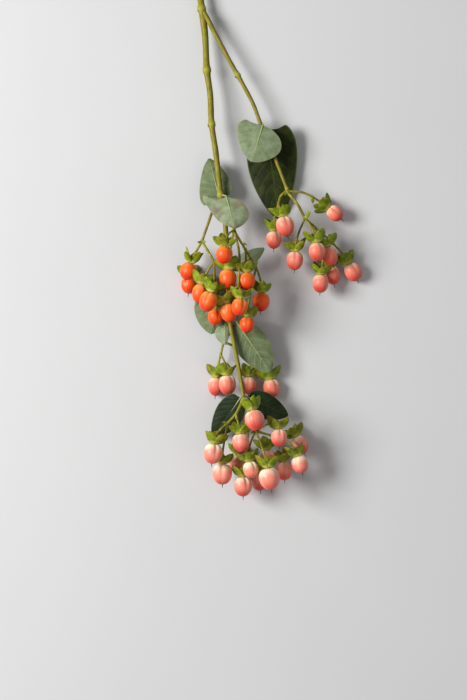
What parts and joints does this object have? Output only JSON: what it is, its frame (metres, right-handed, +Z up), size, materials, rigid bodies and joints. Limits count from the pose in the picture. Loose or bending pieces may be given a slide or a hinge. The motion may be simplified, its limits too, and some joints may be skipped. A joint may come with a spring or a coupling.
{
  "type": "hypericum berry stem",
  "caption": "Cut hypericum stem lying on a surface, with a side shoot, opposite leaves and forked clusters of egg-shaped berries in leafy calyxes.",
  "frame": {"origin": "middle of the plant's outline seen from above, on the surface that it lies on", "axes": "+Z up from the surface, +Y towards the cut end of the stem, -Y towards its tip, +X towards the side shoot's cluster"},
  "size_m": [0.1132, 0.4025, 0.046],
  "materials": {
    "stem": "yellow-green young bark, satin, with brown tints and fine ridges",
    "stalk": "soft green flower stalks and leafy sepals, satin",
    "leaf_underside": "pale grey-green leaf underside, matt, with raised veins",
    "leaf_upper": "dark green leaf upper side, waxy satin, with sunken veins",
    "berry_orange": "orange waxy berry skin, soft gloss",
    "berry_coral": "coral waxy berry skin, soft gloss",
    "berry_pink": "pale pink waxy berry skin, soft gloss"
  },
  "bodies": {
    "root": {"main_stem": "stem", "side_shoot": "stem", "leaf_first_back": "leaf_underside", "leaf_first_front": "leaf_underside", "leaf_shoot_front": "leaf_underside", "leaf_shoot_back": "leaf_upper", "leaf_second_left": "leaf_underside", "leaf_second_right": "leaf_underside", "leaf_third_right": "leaf_underside", "leaf_third_left": "leaf_underside", "leaf_tip_left": "leaf_upper", "leaf_tip_right": "leaf_upper", "stalks_orange_left": "stalk", "berry_orange_left_1": "berry_orange", "berry_orange_left_2": "berry_orange", "berry_orange_left_3": "berry_orange", "berry_orange_left_4": "berry_orange", "berry_orange_left_5": "berry_orange", "stalks_orange_right": "stalk", "berry_orange_right_1": "berry_orange", "berry_orange_right_2": "berry_orange", "berry_orange_right_3": "berry_orange", "berry_orange_right_4": "berry_orange", "berry_orange_right_5": "berry_orange", "berry_orange_right_6": "berry_orange", "berry_orange_right_7": "berry_orange", "stalks_coral_shoot": "stalk", "berry_coral_shoot_1": "berry_coral", "berry_coral_shoot_2": "berry_coral", "berry_coral_shoot_3": "berry_coral", "berry_coral_shoot_4": "berry_coral", "berry_coral_shoot_5": "berry_coral", "berry_coral_shoot_6": "berry_coral", "berry_coral_shoot_7": "berry_coral", "berry_coral_shoot_8": "berry_coral", "berry_coral_shoot_9": "berry_coral", "stalks_coral_back": "stalk", "berry_coral_back_1": "berry_coral", "berry_coral_back_2": "berry_coral", "berry_coral_back_3": "berry_coral", "berry_coral_back_4": "berry_coral", "stalks_pink_tip": "stalk", "berry_pink_tip_1": "berry_pink", "berry_pink_tip_2": "berry_pink", "berry_pink_tip_3": "berry_pink", "berry_pink_tip_4": "berry_pink", "berry_pink_tip_5": "berry_pink", "berry_pink_tip_6": "berry_pink", "berry_pink_tip_7": "berry_pink", "berry_pink_tip_8": "berry_pink", "berry_pink_tip_9": "berry_pink", "berry_pink_tip_10": "berry_pink", "berry_pink_tip_11": "berry_pink", "berry_pink_tip_12": "berry_pink", "berry_pink_tip_13": "berry_pink", "berry_pink_tip_14": "berry_pink"}
  },
  "joints": []
}
